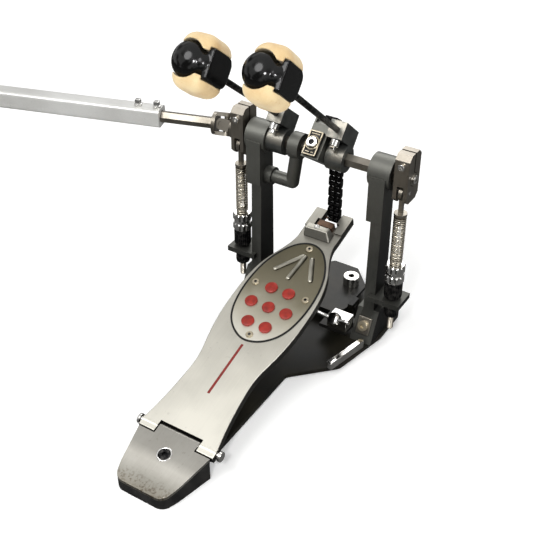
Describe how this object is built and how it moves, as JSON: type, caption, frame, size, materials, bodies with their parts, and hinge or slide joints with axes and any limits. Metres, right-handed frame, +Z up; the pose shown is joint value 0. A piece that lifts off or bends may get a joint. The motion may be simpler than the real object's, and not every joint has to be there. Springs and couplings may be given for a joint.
{
  "type": "double bass drum pedal",
  "caption": "Two linked foot pedals for a bass drum: a chain-driven main pedal with twin sprung beaters and a hoop clamp, and a remote pedal joined by a telescopic drive shaft.",
  "frame": {"origin": "on the floor, below the main shaft's axis, on the main footboard's centre line", "axes": "+X along the main shaft to the right of the player, +Y from the heel towards the drum, +Z up"},
  "size_m": [0.7301, 0.4868, 0.3601],
  "materials": {
    "dark_casting": "black satin casting",
    "black_steel": "black paint",
    "foot_rubber": "ribbed",
    "chrome": "polished",
    "steel": "ground",
    "nickel": "nickel plate",
    "jaw_steel": "grey paint",
    "board_aluminium": "brushed",
    "plate_aluminium": "satin",
    "heel_black": "moulded",
    "grip_red": "moulded",
    "toe_bronze": "dull",
    "chain_black": "blackened",
    "core_black": "polished",
    "felt": "pressed felt"
  },
  "bodies": {
    "frame": {"base_plate": "black_steel", "rubber_feet": "foot_rubber", "right_post": "dark_casting", "left_post": "dark_casting", "frame_bolts": "chrome", "bearings": "steel", "centre_arm": "dark_casting", "heel_plate": "board_aluminium", "heel_block": "heel_black", "hinge_pin": "steel", "side_rail": "chrome"},
    "jaw": {"clamp_jaw": "jaw_steel", "clamp_block": "chrome", "jaw_bushes": "chrome"},
    "wing_bolt": {"clamp_bolt": "steel"},
    "main_drive": {"main_shaft": "steel", "drive_cam": "dark_casting", "cam_clamp": "chrome", "right_hub": "dark_casting", "main_screws": "chrome", "right_rocker": "nickel"},
    "right_chain_on_cam": {"chain_bend": "chain_black"},
    "right_chain_to_toe": {"chain_run": "chain_black"},
    "right_beater": {"right_beater_rod": "steel", "right_beater_core": "core_black", "right_beater_felt": "felt"},
    "right_pedal": {"footboard": "board_aluminium", "traction_plate": "plate_aluminium", "grips": "grip_red", "board_screws": "chrome", "toe_block": "toe_bronze"},
    "right_spring_unit": {"right_spring_adjuster": "nickel", "right_spring": "nickel"},
    "right_spring_hook": {"right_spring_hook": "nickel"},
    "slave_drive": {"slave_shaft": "steel", "slave_hub": "dark_casting", "slave_screws": "chrome", "left_rocker": "nickel"},
    "left_beater": {"left_beater_rod": "steel", "left_beater_core": "core_black", "left_beater_felt": "felt"},
    "left_spring_unit": {"left_spring_adjuster": "nickel", "left_spring": "nickel"},
    "left_spring_hook": {"left_spring_hook": "nickel"},
    "near_cross": {"near_cross": "steel"},
    "drive_rod": {"drive_rod": "steel"},
    "drive_tube": {"drive_tube": "board_aluminium", "tube_screws": "chrome"},
    "far_cross": {"far_cross": "steel"},
    "second_frame": {"second_base": "black_steel", "second_right_post": "dark_casting", "second_left_post": "dark_casting", "second_heel": "black_steel"},
    "second_drive": {"second_shaft": "steel", "second_cam": "dark_casting"},
    "second_pedal": {"second_footboard": "board_aluminium", "second_traction_plate": "plate_aluminium", "second_grips": "grip_red"},
    "second_chain_on_cam": {"second_chain_bend": "chain_black"},
    "second_chain_to_toe": {"second_chain_run": "chain_black"}
  },
  "joints": [
    {"name": "right_footboard", "type": "hinge", "parent": "frame", "child": "right_pedal", "pos_m": [0, -0.2528, 0.0232], "axis": [1, 0, 0], "range_deg": [-4.83, 0], "stiffness_Nm_per_rad": 14, "springref_deg": 11.46},
    {"name": "right_chain_at_toe", "type": "hinge", "parent": "right_pedal", "child": "right_chain_to_toe", "pos_m": [0, 0.034, 0.10358], "axis": [1, 0, 0], "range_deg": [0, 9.35]},
    {"name": "right_chain_at_cam", "type": "hinge", "parent": "main_drive", "child": "right_chain_on_cam", "pos_m": [0, 0.01754, 0.23112], "axis": [1, 0, 0], "range_deg": [0, 14.36]},
    {"name": "main_shaft_turn", "type": "hinge", "parent": "frame", "child": "main_drive", "pos_m": [0, 0, 0.202], "axis": [1, 0, 0], "range_deg": [-45.01, 0]},
    {"name": "right_spring_swivel", "type": "hinge", "parent": "frame", "child": "right_spring_unit", "pos_m": [0.0925, -0.006, 0.059], "axis": [1, 0, 0], "range_deg": [0, 3.09]},
    {"name": "right_spring_stretch", "type": "slide", "parent": "right_spring_unit", "child": "right_spring_hook", "axis": [0, 0, 1], "range_m": [0, 0.00826], "deforming": ["right_spring"]},
    {"name": "right_beater_height", "type": "slide", "parent": "main_drive", "child": "right_beater", "axis": [0, -0.7672, 0.6414], "range_m": [-0.02, 0.02]},
    {"name": "second_pedal_distance", "type": "slide", "parent": "frame", "child": "second_frame", "axis": [-0.9568, -0.2907, 0], "range_m": [-0.018, 0.06]},
    {"name": "left_footboard", "type": "hinge", "parent": "second_frame", "child": "second_pedal", "pos_m": [-0.5431, -0.35309, 0.0232], "axis": [1, 0, 0], "range_deg": [-4.83, 0], "stiffness_Nm_per_rad": 14, "springref_deg": 11.46},
    {"name": "left_chain_at_toe", "type": "hinge", "parent": "second_pedal", "child": "second_chain_to_toe", "pos_m": [-0.5431, -0.06629, 0.10358], "axis": [1, 0, 0], "range_deg": [0, 9.35]},
    {"name": "left_chain_at_cam", "type": "hinge", "parent": "second_drive", "child": "second_chain_on_cam", "pos_m": [-0.5431, -0.08275, 0.23112], "axis": [1, 0, 0], "range_deg": [0, 14.36]},
    {"name": "second_shaft_turn", "type": "hinge", "parent": "second_frame", "child": "second_drive", "pos_m": [-0.5431, -0.10029, 0.202], "axis": [1, 0, 0], "range_deg": [-45.01, 0]},
    {"name": "slave_shaft_turn", "type": "hinge", "parent": "frame", "child": "slave_drive", "pos_m": [0, 0, 0.202], "axis": [1, 0, 0], "range_deg": [-45.01, 0]},
    {"name": "left_spring_swivel", "type": "hinge", "parent": "frame", "child": "left_spring_unit", "pos_m": [-0.0925, -0.006, 0.059], "axis": [1, 0, 0], "range_deg": [0, 3.09]},
    {"name": "left_spring_stretch", "type": "slide", "parent": "left_spring_unit", "child": "left_spring_hook", "axis": [0, 0, 1], "range_m": [0, 0.00826], "deforming": ["left_spring"]},
    {"name": "left_beater_height", "type": "slide", "parent": "slave_drive", "child": "left_beater", "axis": [0, -0.7859, 0.6184], "range_m": [-0.02, 0.02]},
    {"name": "near_cross_turn", "type": "hinge", "parent": "slave_drive", "child": "near_cross", "pos_m": [-0.114, 0, 0.202], "axis": [0, -0.9063, 0.4226], "range_deg": [0, 8.63]},
    {"name": "drive_rod_turn", "type": "hinge", "parent": "frame", "child": "drive_rod", "pos_m": [-0.114, 0, 0.202], "axis": [-0.9568, -0.2907, 0], "range_deg": [0, 44.83]},
    {"name": "drive_tube_turn", "type": "hinge", "parent": "second_frame", "child": "drive_tube", "pos_m": [-0.4441, -0.10029, 0.202], "axis": [-0.9568, -0.2907, 0], "range_deg": [0, 44.83]},
    {"name": "far_cross_turn", "type": "hinge", "parent": "second_drive", "child": "far_cross", "pos_m": [-0.4441, -0.10029, 0.202], "axis": [0, -0.9063, 0.4226], "range_deg": [0, 8.63]},
    {"name": "wing_bolt_turn", "type": "hinge", "parent": "jaw", "child": "wing_bolt", "pos_m": [0.046, -0.03, 0.022], "axis": [0, -0.6428, 0.766], "range_deg": [0, 720]},
    {"name": "jaw_tilt", "type": "hinge", "parent": "frame", "child": "jaw", "pos_m": [0, 0.008, 0.02], "axis": [1, 0, 0], "range_deg": [-3.01, 0]}
  ],
  "couplings": [
    {"joint": "right_chain_at_toe", "follows": "right_footboard", "ratio": -1.9321},
    {"joint": "right_chain_at_cam", "follows": "right_footboard", "ratio": -2.9688},
    {"joint": "main_shaft_turn", "follows": "right_footboard", "ratio": 9.3129},
    {"joint": "right_spring_swivel", "follows": "right_footboard", "ratio": -0.638},
    {"joint": "right_spring_stretch", "follows": "right_footboard", "m_per_rad": -0.097829},
    {"joint": "left_chain_at_toe", "follows": "left_footboard", "ratio": -1.9321},
    {"joint": "left_chain_at_cam", "follows": "left_footboard", "ratio": -2.9688},
    {"joint": "second_shaft_turn", "follows": "left_footboard", "ratio": 9.3129},
    {"joint": "slave_shaft_turn", "follows": "left_footboard", "ratio": 9.3129},
    {"joint": "left_spring_swivel", "follows": "left_footboard", "ratio": -0.638},
    {"joint": "left_spring_stretch", "follows": "left_footboard", "m_per_rad": -0.097829},
    {"joint": "near_cross_turn", "follows": "left_footboard", "ratio": -1.7834},
    {"joint": "drive_rod_turn", "follows": "left_footboard", "ratio": -9.275},
    {"joint": "drive_tube_turn", "follows": "left_footboard", "ratio": -9.275},
    {"joint": "far_cross_turn", "follows": "left_footboard", "ratio": -1.7834},
    {"joint": "jaw_tilt", "follows": "wing_bolt_turn", "ratio": -0.0041667}
  ]
}
